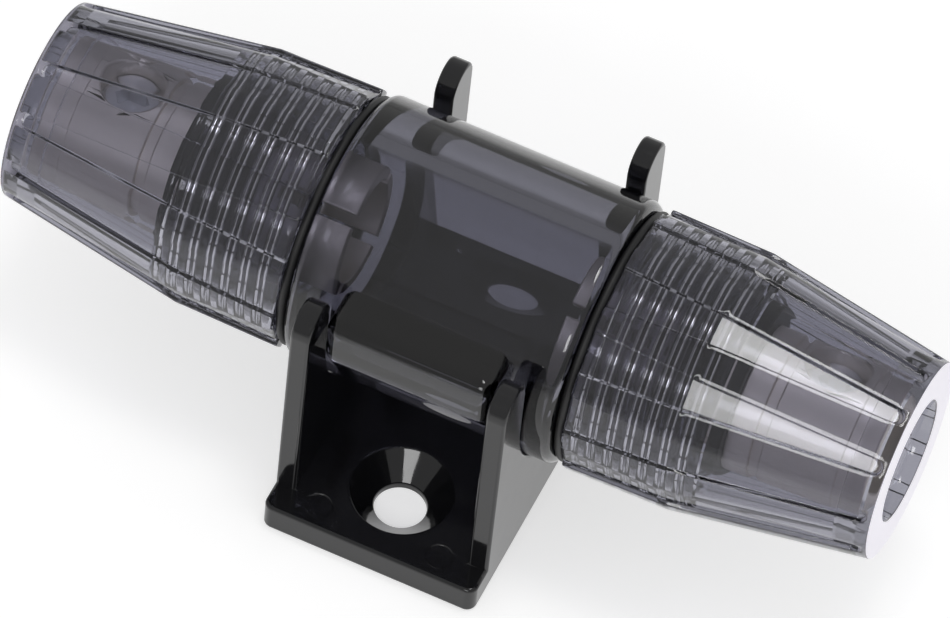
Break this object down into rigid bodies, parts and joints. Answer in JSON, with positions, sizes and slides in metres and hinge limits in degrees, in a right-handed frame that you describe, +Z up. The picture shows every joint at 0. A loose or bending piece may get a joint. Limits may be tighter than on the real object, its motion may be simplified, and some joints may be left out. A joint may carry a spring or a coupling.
{
  "type": "inline fuse holder",
  "caption": "Clear smoked in-line holder for a barrel fuse, with faceted screw caps, cable terminals with set screws and a black snap-in mounting bracket.",
  "frame": {"origin": "middle of the bracket's underside", "axes": "+X along the tube to the right cap, +Y from the padded front to the back, +Z up"},
  "size_m": [0.0884, 0.0416, 0.0338],
  "materials": {
    "black_moulding": "gloss moulded",
    "smoked_clear": "clear smoked, polished",
    "plated_brass": "satin nickel plate",
    "black_rubber": "matt",
    "screw_steel": "bright plated"
  },
  "bodies": {
    "bracket": {"mounting_bracket": "black_moulding"},
    "tube": {"body_tube": "smoked_clear", "left_contact_bush": "black_rubber", "right_contact_bush": "black_rubber", "left_contact": "plated_brass", "right_contact": "plated_brass"},
    "left_seal": {"left_shoulder_seal": "black_rubber"},
    "left_cap": {"left_end_cap": "smoked_clear"},
    "left_screw": {"left_set_screw": "screw_steel"},
    "right_seal": {"right_shoulder_seal": "black_rubber"},
    "right_cap": {"right_end_cap": "smoked_clear"},
    "right_screw": {"right_set_screw": "screw_steel"}
  },
  "joints": [
    {"name": "tube_lift", "type": "slide", "parent": "bracket", "child": "tube", "axis": [0, 0, 1], "range_m": [0, 0.025]},
    {"name": "left_cap_turn", "type": "hinge", "parent": "tube", "child": "left_seal", "pos_m": [-0.0142, 0, 0.0207], "axis": [-1, 0, 0], "range_deg": [0, 2520]},
    {"name": "left_cap_travel", "type": "slide", "parent": "left_seal", "child": "left_cap", "axis": [-1, 0, 0], "range_m": [0, 0.01226]},
    {"name": "left_screw_travel", "type": "slide", "parent": "tube", "child": "left_screw", "axis": [0, 0.0698, 0.9976], "range_m": [-0.0007, 0.0028]},
    {"name": "right_cap_turn", "type": "hinge", "parent": "tube", "child": "right_seal", "pos_m": [0.0142, 0, 0.0207], "axis": [1, 0, 0], "range_deg": [0, 2520]},
    {"name": "right_cap_travel", "type": "slide", "parent": "right_seal", "child": "right_cap", "axis": [1, 0, 0], "range_m": [0, 0.01226]},
    {"name": "right_screw_travel", "type": "slide", "parent": "tube", "child": "right_screw", "axis": [0, 0.2756, 0.9613], "range_m": [-0.0007, 0.0028]}
  ],
  "couplings": [
    {"joint": "left_cap_travel", "follows": "left_cap_turn", "m_per_rad": 0.00027852},
    {"joint": "right_cap_travel", "follows": "right_cap_turn", "m_per_rad": 0.00027852}
  ]
}
